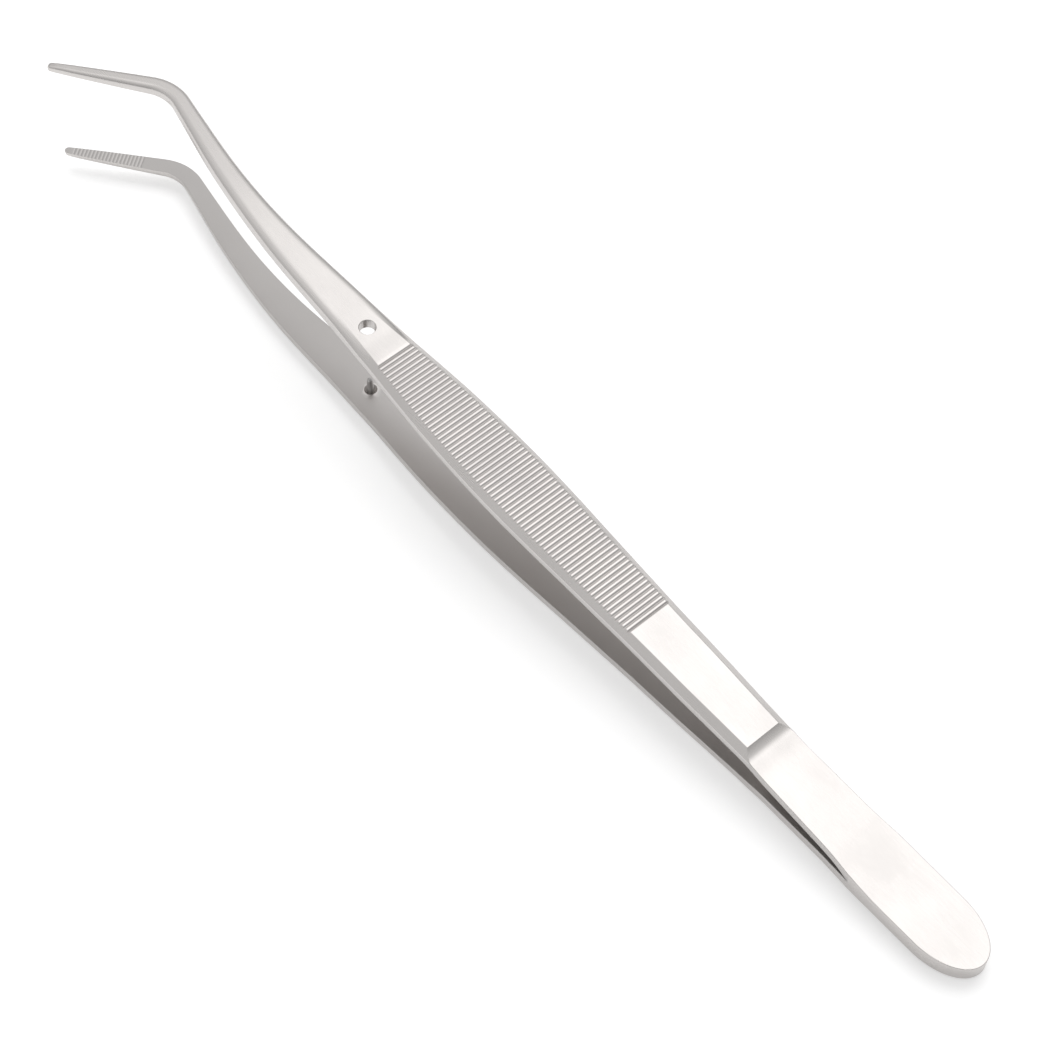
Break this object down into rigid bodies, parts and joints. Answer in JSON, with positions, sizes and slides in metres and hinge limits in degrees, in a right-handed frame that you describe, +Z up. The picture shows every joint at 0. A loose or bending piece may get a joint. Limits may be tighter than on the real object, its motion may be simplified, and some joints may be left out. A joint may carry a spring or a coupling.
{
  "type": "dental dressing pliers",
  "caption": "Contra-angled dental dressing tweezers: twin spring-steel blades welded at the butt, ribbed grips, guide pin and hole, bent serrated beaks.",
  "frame": {"origin": "middle of the plain polished flat on the lower blade's outer face, which lies on the table", "axes": "+X along the grip from the butt to the beaks, +Y to the side the beaks turn to, +Z up from the table; the blades open and close in XZ"},
  "size_m": [0.1572, 0.0108, 0.0188],
  "materials": {
    "satin_steel": "satin",
    "pin_steel": "turned"
  },
  "bodies": {
    "butt": {"joined_butt": "satin_steel"},
    "upper_arm": {"upper_blade": "satin_steel"},
    "lower_arm": {"lower_blade": "satin_steel", "guide_pin": "pin_steel"}
  },
  "joints": [
    {"name": "upper_arm_flex", "type": "hinge", "parent": "butt", "child": "upper_arm", "pos_m": [-0.02658, 0, 0.00232], "axis": [0, 1, 0], "range_deg": [0, 3.11], "stiffness_Nm_per_rad": 4.4},
    {"name": "lower_arm_flex", "type": "hinge", "parent": "butt", "child": "lower_arm", "pos_m": [-0.02658, 0, 0.00232], "axis": [0, -1, 0], "range_deg": [0, 3.11], "stiffness_Nm_per_rad": 4.4}
  ]
}
